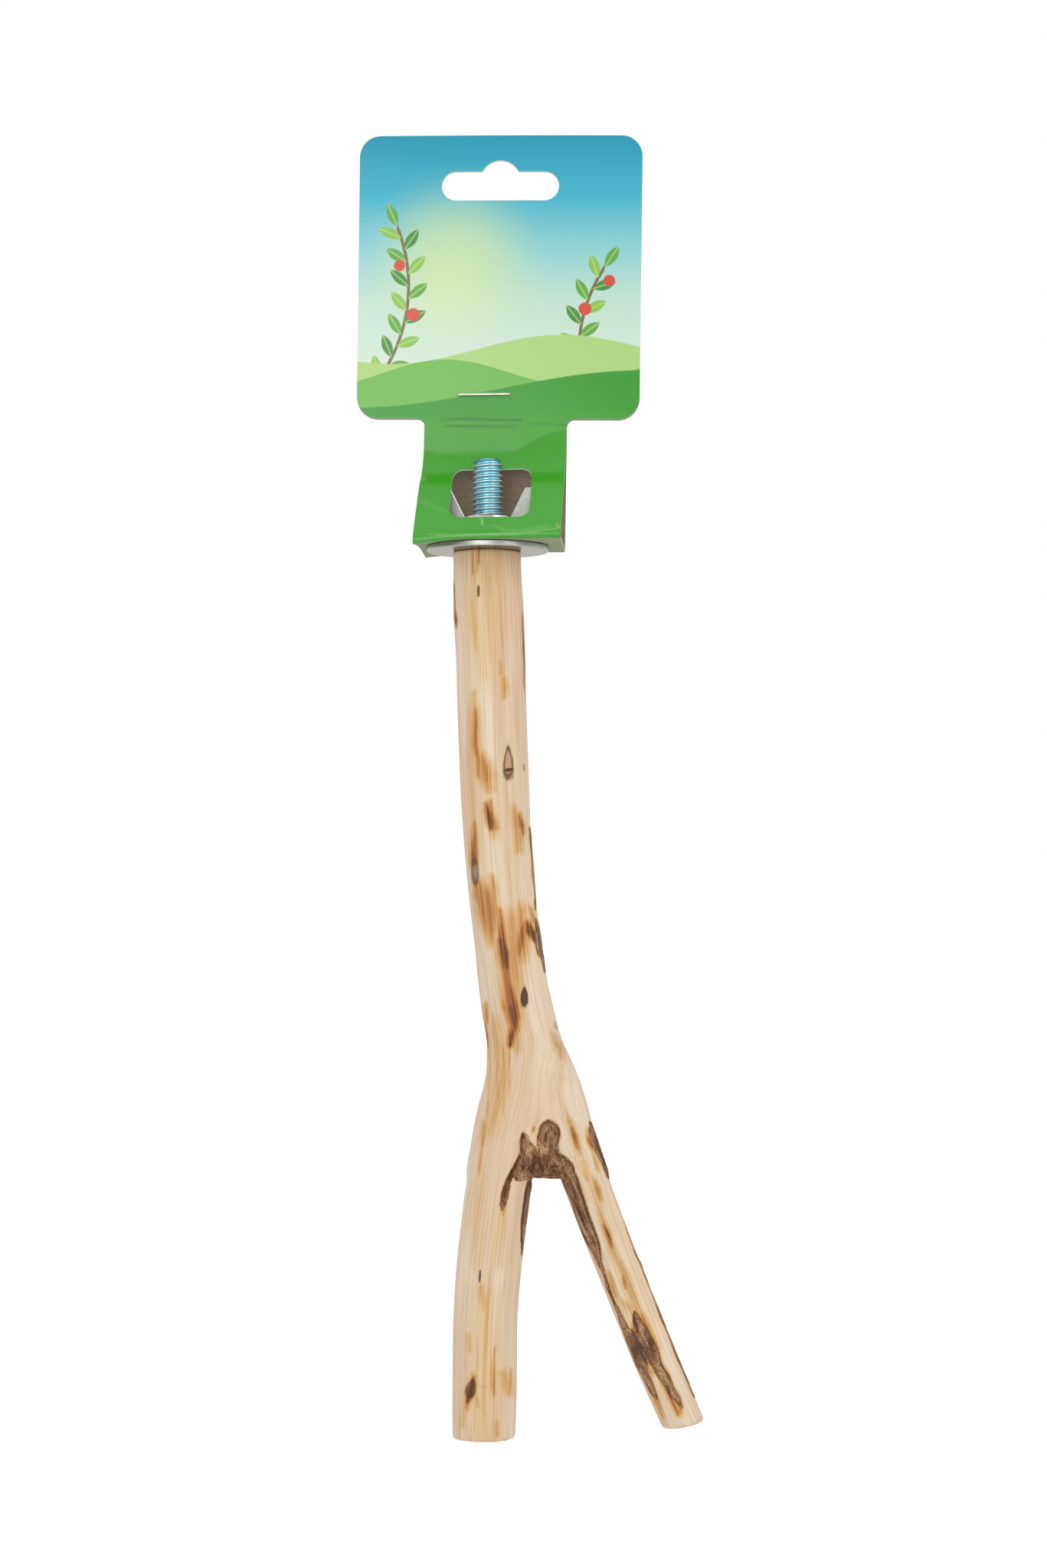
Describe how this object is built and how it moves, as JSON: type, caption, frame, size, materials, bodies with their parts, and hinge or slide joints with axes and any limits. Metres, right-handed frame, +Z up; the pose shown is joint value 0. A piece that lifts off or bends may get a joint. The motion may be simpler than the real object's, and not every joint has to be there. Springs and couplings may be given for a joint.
{
  "type": "bird perch",
  "caption": "Forked natural-wood bird perch on a threaded stud, clamped to cage wire between wide washers by a wing nut, shown in its folded hang card.",
  "frame": {"origin": "on the stud's axis, on the top face of the lower washer, where the cage wire is clamped", "axes": "+Z up the stud, away from the wood; +X to the side of the thin prong; -Y to the card's printed front"},
  "size_m": [0.0895, 0.0363, 0.3408],
  "materials": {
    "peeled_wood": "raw, peeled",
    "blue_zinc_steel": "blue zinc plate",
    "zinc_steel": "zinc plate",
    "printed_board": "gloss printed outside, raw inside",
    "staple_wire": "bright wire"
  },
  "bodies": {
    "perch": {"forked_branch": "peeled_wood", "hanger_bolt": "blue_zinc_steel", "lower_washer": "zinc_steel"},
    "clamp": {"upper_washer": "zinc_steel"},
    "nut": {"wing_nut": "zinc_steel"},
    "card": {"header_card": "printed_board", "staple": "staple_wire"}
  },
  "joints": [
    {"name": "clamp_lift", "type": "slide", "parent": "perch", "child": "clamp", "axis": [0, 0, 1], "range_m": [0, 0.01446]},
    {"name": "nut_turn", "type": "hinge", "parent": "clamp", "child": "nut", "pos_m": [0, 0, 0.005], "axis": [0, 0, 1], "range_deg": [0, 3690]},
    {"name": "card_play", "type": "hinge", "parent": "nut", "child": "card", "pos_m": [0, 0, 0], "axis": [0, 0, 1], "range_deg": [-3, 3]}
  ],
  "couplings": [
    {"joint": "clamp_lift", "follows": "nut_turn", "m_per_rad": 0.00022457}
  ]
}
